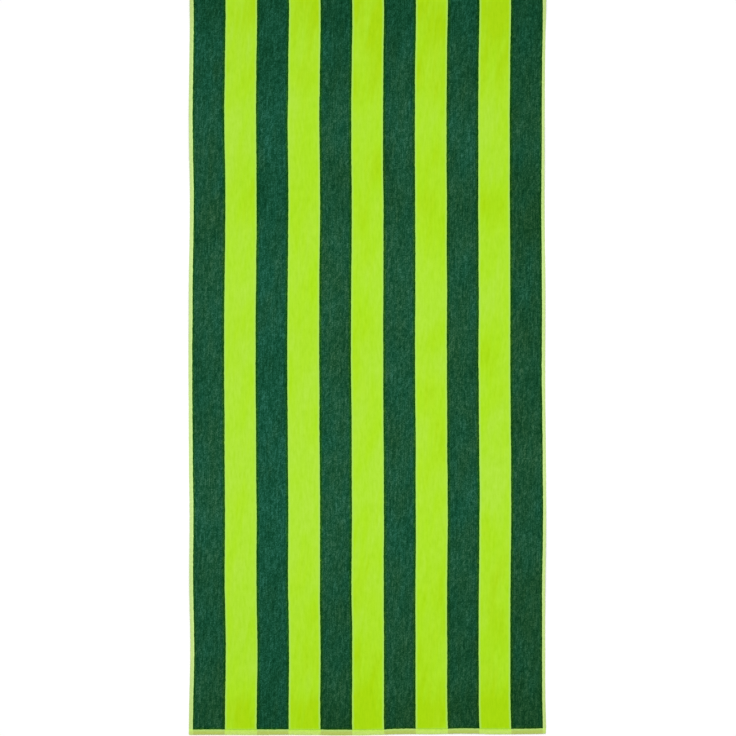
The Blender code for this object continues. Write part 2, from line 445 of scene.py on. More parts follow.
hem_steps = np.array([0.0, 5.5, 8.0, 10.5, 12.5]) * MM  # finer where the cloth leaves the hems
across, along = np.meshgrid(
    spaced(CLOTH_INSET, WIDTH - CLOTH_INSET, BACK_CELL[0], hem_steps),
    spaced(CLOTH_INSET, LENGTH - CLOTH_INSET, BACK_CELL[1], hem_steps),
)
clusters = patches(1.8 * MM, 2.2 * MM, 0.0, seed=21)
loops = LOOP_DEPTH * (0.5 + 0.22 * read(clusters, across, along))
raised = PRESSED_RISE * (1 - ease(from_edge(across, along) / PRESSED_REACH))
underside = np.maximum(loops, 0) + raised
terry_cloth = make_slab("terry_cloth", across, along, underside, GROUND_TOP, folds=1)
print("terry cloth:", terry_cloth["triangles"], "triangles")

# %% [markdown]
# ## The velour stripes
#
# Each stripe is a carpet of sheared tufts, 1.6 mm deep, that stands on the ground. Where two
# colours meet, the tufts part a little, and along the hems the pile ends in a soft shoulder. The
# line between two stripes wavers by a fraction of a millimetre, because tufts lean over it.
#
# A tuft is only about a millimetre wide. The grid has cells of 1.9 by 2.8 mm, about a cluster of
# tufts, which is the finest relief that shows from a step away. Dark cotton shows its tufts more
# than lime cotton does, so its surface is rougher.

# %% Painted sheen and shade in bands
# A towel that was folded and smoothed by hand has bands where the pile stands (1) or is pressed
# flat (-1). Here they are painted into the colour: a painted sheen, paler and bluer, where they are
# high, and a painted shade, deeper and darker, where they are low, most of all at both ends.
# Places are along the towel in millimetres.
SHEEN_BANDS_ALONG = (0, 30, 60, 95, 170, 275, 330, 440, 545, 650, 720, 820, 975, 1070, 1135, 1190, 1300,
             1355, 1405, 1455, 1565, 1620, 1700, 1800)
SHEEN_AND_SHADE_BANDS = (-1.1, -1.0, -0.9, -0.3, 0.1, 0.1, 0.3, 0.7, 0.9, 0.8, 0.5, 0.4, 0.7, 0.8, 0.4, 0.1, 0.4,
             0.7, 0.5, 0.0, -0.2, -0.9, -1.1, -1.2)

# Towards the near end the colour turns more olive (-), and towards the far end more bluish (+).
HUE_ALONG = (0, 70, 160, 320, 1300, 1450, 1560, 1650, 1800)
HUE_BANDS = (-0.3, -0.3, -0.1, 0.0, 0.0, 0.1, 0.35, 0.5, 0.5)

# Each stripe's yarn and shearing differ a little: how far its pile stands by itself.
STRIPE_STAND = (0.1, 0.4, 0.0, 0.0, 0.0, -0.1, 0.0, -0.2, -0.2, -0.2, -0.8)

# The dye differs too, from 0 for olive or yellowish to 1 for bluish.
STRIPE_HUE = (0.5, 0.6, 1.05, 0.5, 0.5, 0.5, 0.5, 0.5, 0.45, 0.5, 0.3)
HUE_SPREAD = (0.14, 0.21)  # how much it varies from patch to patch, dark and lime
# That place is where the painted sheen is palest.
print("the pile stands up most at", SHEEN_BANDS_ALONG[SHEEN_AND_SHADE_BANDS.index(max(SHEEN_AND_SHADE_BANDS))], "mm along the towel")

# %% Sizes of the pile
PILE_TOP = 3.2 * MM
PILE_FOOT = 1.3 * MM  # inside the ground, so that no gap shows under the pile
OVERHANG = 0.9 * MM  # how far the outermost tufts lean out over a hem
PILE_END = END_HEM - OVERHANG  # from a short edge of the towel to the end of the pile
LEAN_OVER = 0.35 * MM  # how far the dark tufts lean over the lime ones
RAGGED_MM, WAVER_MM = 0.16, 0.22  # how far a border strays, from tuft to tuft and in long waves
HALF_GAP = 0.04 * MM  # from a border to the outermost tufts on either side of it
PARTING = 0.32 * MM  # how far the pile drops where two stripes meet
PARTING_REACH = 1.5 * MM  # how far in from there it is still lower
SHOULDER = (0.85 * MM, 0.55 * MM)  # how far it drops at a hem, dark and lime
SHOULDER_REACH = 2.4 * MM
SCALLOP = 0.22 * MM  # how unevenly the tufts lean out over an end hem
SCALLOP_REACH = 3 * MM
RELIEF = (0.055 * MM, 0.020 * MM)  # spread of the tufts' heights, dark and lime
RELIEF_LIMIT = 2.5  # no tuft is higher or lower than this many spreads
STREAK_RELIEF = 0.6  # how much a streak adds to the relief, beside a tuft
HEM_SIDE = (1.2 * MM, 3.2 * MM)  # a stripe's mixed rim is this much narrower along a hem
END_HEM_LIGHT_REACH = 5 * MM  # how far in from an end hem the pile gets painted light, a paler colour beside the seam
TUFT_CELL = (1.9 * MM, 2.8 * MM)  # width and length of the grid's cells
RIM_STEPS = np.array([0.0, 0.35, 0.9, 1.7, 2.7]) * MM  # finer cells along the rim of a stripe
KINDS = ("dark", "lime")

# How much each of these counts for in the painted sheen and shade.
SHEEN_BAND_SHARE, STREAK_SHARE, STROKE_SHARE, END_HEM_LIGHT_SHARE = 0.5, 0.08, 0.17, 0.8
TINT_SHARE = 0.6  # how much a small tint counts for in the dye's hue, beside a large patch
print(f"the pile is {(PILE_TOP - GROUND_TOP) / MM:.1f} mm deep")

# %% Where a stripe's pile lies
def border_line(number, along):
    """Where a stripe border runs: straight, but for a fine raggedness and a slow waver."""
    place = stripe_lines[number] + (LEAN_OVER if number % 2 else -LEAN_OVER)
    if number == 0:
        place = LEFT_HEM - OVERHANG
    if number == STRIPES:
        place = WIDTH - RIGHT_HEM + OVERHANG
    at = np.full_like(along, place)
    strays = RAGGED_MM * read(ragged, at, along) + WAVER_MM * read(strokes, at, along)
    return place + strays * MM


def from_pile_ends(along):
    """How far a place is inside the nearer end of the pile."""
    return np.minimum(along - PILE_END, LENGTH - PILE_END - along)


def pile_places(index):
    """Places of a stripe's grid, and how far each is inside its left border, its right border and
    its ends. The lines between two borders share out the way from one to the other."""
    width = stripe_widths[index]
    share = (spaced(0, width, TUFT_CELL[0], RIM_STEPS) / width)[None, :]
    rows = spaced(PILE_END, LENGTH - PILE_END, TUFT_CELL[1], RIM_STEPS)
    along = np.repeat(rows[:, None], share.size, axis=1)
    line_left = border_line(index, rows)[:, None] + HALF_GAP
    line_right = border_line(index + 1, rows)[:, None] - HALF_GAP
    across = line_left * (1 - share) + line_right * share
    tucked = np.minimum(from_pile_ends(along) / SCALLOP_REACH, 1)
    along = along + SCALLOP * read(scallops, across, along) * (1 - tucked)
    return across, along, across - line_left, line_right - across, from_pile_ends(along)


print("the first stripe's grid has", pile_places(0)[0].shape, "points")

# %% One stripe of pile
def drop_at(inset, depth, reach):
    """How far the pile drops near its edge: its depth at the edge, and further in that depth times
    the square of the share of the reach that is left."""
    return depth * (1 - np.clip(inset / reach, 0, 1)) ** 2


def velour_stripe(index):
    """One stripe of pile between two border lines, as a slab with its fine side up.

    Its height is the pile's, less the largest of the drops at its edges, plus the tufts' relief.
    Each point carries four values for the material: its tuft's height, its painted sheen and
    shade, the dye's hue, and how far it is inside the stripe."""
    lime = index % 2
    across, along, inset_left, inset_right, inset_ends = pile_places(index)
    first, last = index == 0, index == STRIPES - 1
    parting, shoulder = (PARTING, PARTING_REACH), (SHOULDER[lime], SHOULDER_REACH)
    drop = np.maximum.reduce([
        drop_at(inset_left, *(shoulder if first else parting)),
        drop_at(inset_right, *(shoulder if last else parting)),
        drop_at(inset_ends, *shoulder),
    ])
    tuft, streak = read(tufts, across, along), read(streaks, across, along)
    relief = RELIEF[lime] * (np.clip(tuft, -RELIEF_LIMIT, RELIEF_LIMIT) + STREAK_RELIEF * streak)

    # The painted sheen and shade follow the bands most of all, and the random strokes and streaks
    # count for less.
    sheen_bands = smooth_curve(along / MM, SHEEN_BANDS_ALONG, SHEEN_AND_SHADE_BANDS) + STRIPE_STAND[index]
    # Painted light beside the end hems: the pile is painted paler there.
    end_hem_light = 1 - ease(inset_ends / END_HEM_LIGHT_REACH)
    stand = 0.5 + SHEEN_BAND_SHARE * sheen_bands + STREAK_SHARE * streak
    stand = stand + STROKE_SHARE * read(strokes, across, along) + END_HEM_LIGHT_SHARE * end_hem_light
    hue_patch = read(hues, across, along) + TINT_SHARE * read(tints, across, along)
    hue = STRIPE_HUE[index] + HUE_SPREAD[lime] * hue_patch
    hue = hue + smooth_curve(along / MM, HUE_ALONG, HUE_BANDS)
    inset = np.minimum.reduce([
        inset_left + HEM_SIDE[lime] * first,
        inset_right + HEM_SIDE[lime] * last,
        inset_ends + HEM_SIDE[lime],
    ])
    return make_slab(
        f"{KINDS[lime]}_velour_{index + 1:02d}", across, along, PILE_TOP - drop + relief, PILE_FOOT,
        folds=5, tuft=tuft, stand=stand, hue=hue, inset=inset / MM,
    )


velour = [velour_stripe(index) for index in range(STRIPES)]
print("velour:", len(velour), "stripes,", sum(piece["triangles"] for piece in velour), "triangles")

# %% [markdown]
# ## The hems
#
# Each edge is folded under twice and sewn down. From above that is a flat strip with a rounded
# fold on its outer side and a shallow groove under the stitches, which pucker it a little. It is a
# profile carried along the edge. The end hems were folded last, so at the corners they lie over
# the side hems.

# %% The section of a hem
HEM_THICKNESS = 2.3 * MM
SEAM_INSET = 2.2 * MM  # from the hem's inner edge to its line of stitches
STITCH = 3.0 * MM  # from one stitch to the next
TUCK = 0.7 * MM  # how far the hem reaches in under the pile
TUCKED_DROP = 0.1 * MM  # how much thinner it is where it goes in there
DOME = 0.06 * MM  # how far the top bulges between the fold and the seam
GROOVE, GROOVE_REACH = 0.16 * MM, 0.7 * MM  # the seam's groove: its depth, and half its width
GROOVE_SIDE = 0.9 * MM  # from the seam to the points of the top on either side of it
HOLLOW, HOLLOW_SIDE = 0.22 * MM, 0.8 * MM  # the same for the underside, which the stitches pull up


def hem_section(width):
    """Insets and heights round a hem: half a circle at the fold, a top domed like half a sine wave
    with the seam's bell-shaped groove, a blunt inner edge under the pile, and a flat underside with
    the seam's hollow."""
    r = HEM_THICKNESS / 2
    turn = np.radians([-90, -60, -30, 0, 30, 60, 90])
    fold = np.stack([r - r * np.cos(turn), r + r * np.sin(turn)], -1)
    seam, end = width - SEAM_INSET, width + TUCK
    top_at = np.array([0.38 * (r + seam), 0.7 * seam, seam - GROOVE_SIDE, seam, seam + GROOVE_SIDE])
    dome = DOME * np.sin(np.pi * np.clip((top_at - r) / (seam - r), 0, 1))
    groove = GROOVE * np.exp(-(((top_at - seam) / GROOVE_REACH) ** 2))
    top = np.stack([top_at, 2 * r + dome - groove], -1)
    inner = np.array([[end - TUCK, 2 * r - TUCKED_DROP], [end, r], [end - TUCK, 0.0]])
    hollow = np.array([[seam + HOLLOW_SIDE, HOLLOW], [seam - HOLLOW_SIDE, HOLLOW]])
    return np.concatenate([fold, top, inner, hollow])


print("a side hem's section has", len(hem_section(LEFT_HEM)), "points")

# %% Carry the section along an edge
HEM_STEP = STITCH / 2  # so that each stitch has a hollow and a crest
END_STEPS = np.array([0.0, 0.25, 0.6]) * MM  # rings of points round the rounded end of a hem
PUCKER, PUCKER_REACH = 0.07 * MM, 2.2 * MM  # the stitches' puckers: depth, and reach from the seam
BUMPS = 0.035 * MM  # spread of the unevenness of the top
FOLD_BUMPS_MM, FOLD_WAVER_MM = 0.10, 0.15  # how far the fold strays, over short and long ways
CORNER_DRAW = 1.3 * MM  # how far the fold draws in at its ends, which rounds the towel's corners
CORNER_REACH = 3 * MM  # how far from its end, and how far from its outer edge, a hem is drawn in
TOP_FROM_MIDDLE = 0.8 * MM  # how far above its middle height a hem is fully its top
LOWERED_REACH = 2 * MM  # over which a lowered end comes back to its own height
END_SHRINK = 0.85  # how much a hem's rounded end closes: 1 brings its section down to a line


def hem_points(width, ends, edge_length, to_cloth, lowered):
    """The section, the stations along the edge, and for each point its inset, its place along the
    edge and its height. The section's own numbers are moved by the puckers, which are a cosine
    wave along the edge, by the unevenness, and by the rounding of the ends and of the corners."""
    section, middle = hem_section(width), HEM_THICKNESS / 2
    stations = np.arange(ends[0], ends[1] + HEM_STEP / 2, HEM_STEP)
    stations = np.concatenate([stations[0] - END_STEPS[::-1], stations[1:-1], stations[-1] + END_STEPS])
    inset, height, at = np.broadcast_arrays(section[:, 0], section[:, 1], stations[:, None])
    across, along = to_cloth(inset, at)
    bumps, slow = read(ragged, across, along), read(strokes, across, along)

    upper = ease((height - middle) / TOP_FROM_MIDDLE)
    near_seam = np.exp(-(((inset - (width - SEAM_INSET)) / PUCKER_REACH) ** 2))
    pucker = np.cos(2 * np.pi * at / STITCH) * near_seam
    beyond_end_hem = np.minimum(at, edge_length - at) - END_HEM
    under = lowered * (1 - ease(beyond_end_hem / LOWERED_REACH))
    height = height + upper * (PUCKER * pucker + BUMPS * bumps - under) + (1 - upper) * under

    outer = 1 - ease(inset / CORNER_REACH)
    from_end = np.minimum(at - stations[0], stations[-1] - at)
    corner = CORNER_DRAW * (1 - np.clip(from_end / CORNER_REACH, 0, 1)) ** 2
    inset = inset + outer * ((FOLD_BUMPS_MM * bumps + FOLD_WAVER_MM * slow) * MM + corner)
    # At the strip's two ends the section shrinks towards its middle height.
    closing = np.clip(from_end / END_STEPS[-1], 0, 1)
    height = middle + (height - middle) * np.sqrt(1 - (1 - closing) ** 2 * END_SHRINK)
    return section, stations, inset, at, height


print("a hem's rings of points are", HEM_STEP / MM, "mm apart")

# %% Close the strip and unfold it
def tube_faces(rows, columns):
    """The faces from each ring of points to the next, and a cap at both ends."""
    grid = np.arange(rows * columns).reshape(rows, columns)
    nearer, further = np.roll(grid, -1, axis=1)[:-1], np.roll(grid, -1, axis=1)[1:]
    sides = np.stack([grid[:-1], nearer, further, grid[1:]], -1).reshape(-1, 4)
    return [sides, grid[:1, ::-1], grid[-1:]]


def tube_picture_map(section, stations, folds):
    """The way round the section set off against the way along the edge, cut into columns, and the
    two caps in a last column of their own."""
    rows, columns = len(stations), len(section)
    steps = np.diff(section, axis=0, append=section[:1])
    way_round = np.concatenate([[0], np.cumsum(np.hypot(*steps.T))])
    j, i = np.tile(np.arange(columns), rows - 1), np.repeat(np.arange(rows - 1), columns)
    u = np.stack([way_round[j], way_round[j + 1], way_round[j + 1], way_round[j]], -1).ravel()
    v = np.stack([stations[i], stations[i], stations[i + 1], stations[i + 1]], -1).ravel()
    cap_u = np.concatenate([section[::-1, 0], section[:, 0]])
    cap_v = np.concatenate([section[::-1, 1], section[:, 1] + 2 * HEM_THICKNESS])
    column = np.repeat(i // math.ceil((rows - 1) / folds), 4)
    return unfolded(
        np.concatenate([u, cap_u]), np.concatenate([v, cap_v]),
        np.concatenate([column, np.full(2 * columns, folds)]),
    )


def hem(name, width, ends, edge_length, to_cloth, lowered, folds):
    """A closed strip. to_cloth turns (inset, place along the edge) into (across, along) on the
    cloth. Lowered is how far the top sinks, and the underside rises, at the two ends, where another
    hem lies over it."""
    section, stations, inset, at, height = hem_points(width, ends, edge_length, to_cloth, lowered)
    across, along = (places.ravel() for places in to_cloth(inset, at))
    # The lowered hems are the side hems, and only those run along the bands of the pile: they get
    # the bands' painted shade, darker and yellower where the bands are low.
    stand = 0.5 + 0.5 * smooth_curve(along / MM, SHEEN_BANDS_ALONG, SHEEN_AND_SHADE_BANDS) if lowered else 1.0
    return make_piece(
        name, across, along, height.ravel(), tube_faces(*inset.shape),
        tube_picture_map(section, stations, folds), fold_inset=(inset / width).ravel(), stand=stand,
    )


# %% Hem all four edges
UNDER_END_HEM = 0.35 * MM  # how far a side hem is pressed at its ends, above and below
DRAWN_IN = 0.6 * MM  # how far its seam draws a side hem in
DRAWN_IN_MORE = 0.8 * MM  # how much further where it lies under an end hem
side_ends = (3.0 * MM, LENGTH - 3.0 * MM)  # where the side hems start and end
end_ends = (1.4 * MM, WIDTH - 1.4 * MM)


def drawn_in(at):
    """How far a side hem is drawn in: the further part eases in over 4 mm at the end hems."""
    covered = 1 - ease((np.minimum(at, LENGTH - at) - END_HEM + 2 * MM) / (4 * MM))
    return DRAWN_IN + DRAWN_IN_MORE * covered


# Each of these turns an inset from its own edge, and a place along it, into (across, along).
def from_left(inset, at):
    return inset + drawn_in(at), at


def from_right(inset, at):
    return WIDTH - inset - drawn_in(at), at


def from_near(inset, at):
    return at, inset


def from_far(inset, at):
    return at, LENGTH - inset


hems = [
    hem("hem_left", LEFT_HEM, side_ends, LENGTH, from_left, UNDER_END_HEM, folds=8),
    hem("hem_right", RIGHT_HEM, side_ends, LENGTH, from_right, UNDER_END_HEM, folds=8),
    hem("hem_near", END_HEM, end_ends, WIDTH, from_near, 0.0, folds=4),
    hem("hem_far", END_HEM, end_ends, WIDTH, from_far, 0.0, folds=4),
]
print("hems:", sum(piece["triangles"] for piece in hems), "triangles")

# %% [markdown]
# ## The stitches
#
# A lockstitch shows as a row of short threads, each diving into the cloth at both ends. One stitch
# is a spindle with only four or five sides, because there are thousands of them. All are worked
# out in one go: an array of seam places, and the same few points of a spindle added to each place.

# %% Rows of stitches
THREAD = 0.42 * MM
STITCH_GAP = 0.35 * MM  # bare cloth between one stitch and the next
FIRST_STITCH = 3 * MM  # from a long edge to the first stitch of an end hem
THREAD_LINE = 0.12 * MM  # how far a stitch's line runs below the top of the hem, in the groove
SPINDLE_AT = np.array([0.0, 0.28, 0.72, 1.0])  # its rings of points, as shares of its length
SPINDLE_RADIUS = np.array([0.15, 1.0, 1.0, 0.15]) * THREAD / 2
SPINDLE_ARCH = np.array([-0.24, 0.0, 0.0, -0.24]) * MM


def stitches(name, seams, surface, up, sides):
    """A spindle for each stitch. Its rings are circles round its line, and it bends down into the
    cloth at both ends like an arch. seams holds (start, end, to_cloth, width) for each line, and
    up is 1 for stitches on the top and -1 for those on the underside."""
    turn = 2 * np.pi * np.arange(sides) / sides
    parts = []
    for start, end, to_cloth, width in seams:
        first = np.arange(start, end - STITCH, STITCH)
        at = first[:, None, None] + STITCH_GAP / 2 + (STITCH - STITCH_GAP) * SPINDLE_AT[:, None]
        inset = width - SEAM_INSET + SPINDLE_RADIUS[:, None] * np.cos(turn)
        height = surface + up * (SPINDLE_ARCH[:, None] + SPINDLE_RADIUS[:, None] * np.sin(turn))
        at, inset, height = np.broadcast_arrays(at, inset, height)
        parts.append(np.stack([*to_cloth(inset, at), height]).reshape(3, -1))
    across, along, height = np.concatenate(parts, axis=1)
    points = len(SPINDLE_AT) * sides
    first_point = points * np.arange(len(across) // points)[:, None, None]
    j = np.arange(sides)[None, :]
    next_j = (j + 1) % sides
    low = sides * np.arange(len(SPINDLE_AT) - 1)[:, None]
    tube = np.stack([low + j, low + next_j, low + sides + next_j, low + sides + j], -1)
    faces = [
        (tube.reshape(1, -1, 4) + first_point).reshape(-1, 4),
        (j[None, :, ::-1] + first_point).reshape(-1, sides),
        (j[None] + points - sides + first_point).reshape(-1, sides),
    ]
    return make_piece(name, across, along, height, faces)


seams = (
    (END_HEM, LENGTH - END_HEM, from_left, LEFT_HEM),
    (END_HEM, LENGTH - END_HEM, from_right, RIGHT_HEM),
    (FIRST_STITCH, WIDTH - FIRST_STITCH, from_near, END_HEM),
    (FIRST_STITCH, WIDTH - FIRST_STITCH, from_far, END_HEM),
)
sewing = [
    stitches("stitches_on_top", seams, surface=HEM_THICKNESS - THREAD_LINE, up=1, sides=5),
    stitches("stitches_below", seams, surface=HOLLOW, up=-1, sides=4),
]
print("stitches:", sum(piece["triangles"] for piece in sewing), "triangles")

# %% [markdown]
# ## Colours and nodes
#
# Colours are written as sRGB hex, which is what a colour picker shows. Blender calculates with
# linear light, so one function converts them. Another one adds a node, sets it and joins it up. A
# material is then written as sums on colours and numbers: each node's output goes into the next.

# %% Helpers for materials
def linear(srgb_hex):
    """Linear RGBA of an sRGB hex colour."""
    values = np.array([int(srgb_hex[i : i + 2], 16) / 255 for i in (0, 2, 4)])
    low, high = values / 12.92, ((values + 0.055) / 1.055) ** 2.4
    return (*np.where(values <= 0.04045, low, high).tolist(), 1.0)


def add(tree, kind, inputs=(), output=0, **settings):
    """Adds a node, sets its own properties and its inputs, and returns one of its outputs. Inputs
    are in the node's own order, or a dictionary by place or name. Each is a number, a colour, or
    another node's output, which is linked."""
    made = tree.nodes.new("ShaderNode" + kind)
    for name, value in settings.items():
        setattr(made, name, value)
    for place, value in (inputs if isinstance(inputs, dict) else dict(enumerate(inputs))).items():
        if isinstance(value, bpy.types.NodeSocket):
            tree.links.new(value, made.inputs[place])
        else:
            made.inputs[place].default_value = value
    return made.outputs[output]


# Places of a Mix node's inputs, and of its output, when it mixes colours.
FACTOR, FIRST, SECOND, MIXED = 0, 6, 7, 2


def cloth_material(name, roughness, sheen):
    """A matt material, its node tree and its shader, which nothing is linked to yet. Cotton reflects
    little at its surface, so its specular level is low, and loose fibres give it a soft sheen."""
    material = bpy.data.materials.new(name)
    material.use_nodes = True
    shader = material.node_tree.nodes["Principled BSDF"]
    shader.inputs["Roughness"].default_value = roughness
    shader.inputs["Specular IOR Level"].default_value = 0.05
    shader.inputs["Sheen Weight"].default_value = sheen
    shader.inputs["Sheen Roughness"].default_value = 0.55
    return material, material.node_tree, shader


def grains(tree, wide, long, detail=1.0):
    """A pattern from 0 to 1 on the flat cloth, with random grains of these sizes in metres: the
    cloth's coordinates divided by the sizes, so that noise has one cell to each grain."""
    cloth = add(tree, "UVMap", uv_map="cloth")
    scaled = add(tree, "VectorMath", (cloth, (1 / wide, 1 / long, 1.0)), operation="MULTIPLY")
    noise = {"Vector": scaled, "Scale": 1.0, "Detail": detail, "Roughness": 0.6}
    return add(tree, "TexNoise", noise)


print("the middle of the sRGB scale is", round(linear("808080")[0], 3), "of white in linear light")

# %% [markdown]
# ## Velour
#
# Sheared cotton pile is a forest of fibre ends. Seen from above, the tips catch the light and the
# gaps between tufts are deep and dark, so the dark green is speckled with paler and darker grains,
# longer than they are wide. Here that light and shade are painted into the grain's colours. Patches
# where the pile stands up look paler and bluer, and patches where it is pressed flat look deeper:
# here that sheen is painted into the colour too, and both ends of the towel get a painted shade.
# Lime cotton hides its own shadows, because light passes through it: it shows hardly any grain, and
# mostly changes between a yellower and a deeper green.
#
# Tufts of a millimetre and fibres of a hundredth of one are too fine to show from this far. So the
# grain is drawn as coarse as clusters of tufts, and the fibres as bundles 0.35 mm wide.
#
# Along a border the last tufts mix with the next colour, so a dark stripe has an olive rim and a
# lime one has a pale rim.

# %% Colours and grain of the velour
RIM_WAVER = 4.0  # how unevenly the rim's edge runs in, in millimetres
FIBRE_RELIEF = 0.6  # how much a bundle of fibres stands out beside the grain

# Colours of the grain from deep to tip, which paint the shade between tufts and the light on their
# tips, and the tints that it is multiplied by: the painted sheen and shade, from pressed to standing
# pile, from olive to teal dye, and at the rim, which is mixed with "neighbour" too. The rim's reach
# is in millimetres. "tuft" and "fibres" are how much those show, and each noise has a width and a
# length in millimetres and a weight. The longest noise gives thin streaks.
VELOUR = {
    "dark": {
        "slot": "dark_green_pile",
        "grain": ("00341F", "184C35", "426E5C"), "stand": ("CEDFCA", "E8F0E6", "FFFFFF"),
        "olive": "FFFBDA", "teal": "C4FFFF", "rim": "FFFF38", "rim_reach": (1.5, 8.8),
        "tuft": 0.12, "fibres": 1.2, "noises": ((1.9, 2.9, 1.45), (1.8, 60, 0.75), (0.6, 1.2, 0.6)),
        "sheen": "4A9A78",
    },
    "lime": {
        "slot": "lime_pile",
        "grain": ("A1D22F", "A6D637", "AAD93E"), "stand": ("F7F55E", "FCFEB8", "FFFFFF"),
        "olive": "FAFFCC", "teal": "FFFFFF", "rim": "FFFFFF", "rim_reach": (1.1, 5.6),
        "tuft": 0.02, "fibres": 0.25, "noises": ((5.0, 26, 1.6), (9.0, 14, 1.0), (0.6, 1.2, 0.2)),
        "sheen": "D8F080", "neighbour": "A2D45A",
    },
}
print("velour looks:", list(VELOUR))

# %% The velour materials
def velour_material(kind):
    """Grain from the tufts and from noise, times the painted sheen and shade, the dye's tint and the
    rim's.
    """
    look = VELOUR[kind]
    material, tree, shader = cloth_material(f"{kind}_cotton_velour", 0.95, 0.06)
    shader.inputs["Sheen Tint"].default_value = linear(look["sheen"])
    tuft, stand, hue, inset = (
        add(tree, "Attribute", output="Fac", attribute_name=value)
        for value in ("tuft", "stand", "hue", "inset")
    )
    grain = add(tree, "Math", (tuft, look["tuft"], 0.5), operation="MULTIPLY_ADD")
    for wide, long, weight in look["noises"]:
        noise = add(tree, "Math", (grains(tree, wide * MM, long * MM), 0.5), operation="SUBTRACT")
        grain = add(tree, "Math", (noise, weight, grain), operation="MULTIPLY_ADD")
    # The second ramp paints the sheen and shade: deeper where the value is low, white where it is high.
    colour, shade = add(tree, "ValToRGB", (grain,)), add(tree, "ValToRGB", (stand,))
    for ramp, stops in ((colour, look["grain"]), (shade, look["stand"])):
        elements = ramp.node.color_ramp.elements
        elements[0].color, elements[1].color = linear(stops[0]), linear(stops[2])
        elements.new(0.5).color = linear(stops[1])
    # Bundles of fibres are finer than the tufts. They make the colour lighter and darker in one hue.
    fibre = grains(tree, 0.35 * MM, 0.8 * MM, detail=3.0)
    light = (fibre, look["fibres"], 1 - look["fibres"] / 2)
    light = add(tree, "Math", light, operation="MULTIPLY_ADD")
    colour = add(tree, "HueSaturation", {"Value": light, "Color": colour})
    # The rim has an uneven edge.
    uneven = add(tree, "Math", (grains(tree, 1.3 * MM, 3.0 * MM), 0.5), operation="SUBTRACT")
    inset = add(tree, "Math", (uneven, RIM_WAVER, inset), operation="MULTIPLY_ADD")
    near, far = look["rim_reach"]
    ends = {"Value": inset, "From Min": near, "From Max": far}
    inside = add(tree, "MapRange", ends, interpolation_type="SMOOTHSTEP")
    dyes = {FACTOR: hue, FIRST: linear(look["olive"]), SECOND: linear(look["teal"])}
    rims = {FACTOR: inside, FIRST: linear(look["rim"]), SECOND: linear("FFFFFF")}
    dye, rim = (add(tree, "Mix", mixed, MIXED, data_type="RGBA") for mixed in (dyes, rims))
    for tint in (shade, dye, rim):
        both = {FACTOR: 1.0, FIRST: colour, SECOND: tint}
        colour = add(tree, "Mix", both, MIXED, data_type="RGBA", blend_type="MULTIPLY")
    if "neighbour" in look:
        outside = add(tree, "Math", (1.0, inside), operation="SUBTRACT")
        both = {FACTOR: outside, FIRST: colour, SECOND: linear(look["neighbour"])}
        colour = add(tree, "Mix", both, MIXED, data_type="RGBA")
    height = add(tree, "Math", (fibre, FIBRE_RELIEF, grain), operation="MULTIPLY_ADD")
    bump = add(tree, "Bump", {"Strength": 0.5, "Distance": 0.3 * MM, "Height": height})
    tree.links.new(colour, shader.inputs["Base Color"])
    tree.links.new(bump, shader.inputs["Normal"])
    return material


velour_materials = {kind: velour_material(kind) for kind in KINDS}
print("materials:", [material.name for material in velour_materials.values()])

# %% [markdown]
# ## Stripes by calculation
#
# The terry back and the end hems cross all the stripes, so their materials have to know where each
# stripe is. The stripes repeat every dark and lime pair. The remainder of a division by that pair's
# width says how far into the pair a place is, and the dark one comes first.

# %% Is this place in a dark stripe?
def stripe_places(tree):
    """Two values: 1 where the warp is dark green, and 1 between the two side hems. Both are 0
    elsewhere, and go from 1 to 0 over the width of a thread or two, unevenly."""
    soft, jitter = 0.6 * MM, 0.8 * MM
    across = add(tree, "SeparateXYZ", (add(tree, "UVMap", uv_map="cloth"),))
    strays = (grains(tree, 0.9 * MM, 0.9 * MM), jitter, -jitter / 2)
    strays = add(tree, "Math", strays, operation="MULTIPLY_ADD")
    across = add(tree, "Math", (across, strays), operation="ADD")
    from_hem = add(tree, "Math", (across, LEFT_HEM), operation="SUBTRACT")
    into_pair = add(tree, "Math", (from_hem, DARK_STRIPE + LIME_STRIPE), operation="FLOORED_MODULO")
    middle_of_all = (stripe_lines[0] + stripe_lines[-1]) / 2
    half_of_all = (stripe_lines[-1] - stripe_lines[0]) / 2
    answers = []
    for place, middle, half in (
        (into_pair, DARK_STRIPE / 2, DARK_STRIPE / 2), (across, middle_of_all, half_of_all),
    ):
        away = add(tree, "Math", (place, middle), operation="SUBTRACT")
        away = add(tree, "Math", (away,), operation="ABSOLUTE")
        ends = {"Value": away, "From Min": half - soft / 2, "From Max": half + soft / 2,
                "To Min": 1.0, "To Max": 0.0}
        answers.append(add(tree, "MapRange", ends))
    return answers


print(f"a dark and a lime stripe repeat every {(DARK_STRIPE + LIME_STRIPE) / MM:.1f} mm")

# %% [markdown]
# ## Terry loops, hem cloth and thread
#
# The back is unsheared terry: rows of small loops that cast small shadows. The hems have no pile,
# so the woven ground shows. Its weft is pale lime, and its warp has the stripes' colours, which
# together look khaki where the dark stripes run out. Towards the pile a hem is greener, because
# lime fibres lie over its seam, and towards its rounded fold it is darker, as painted shade.

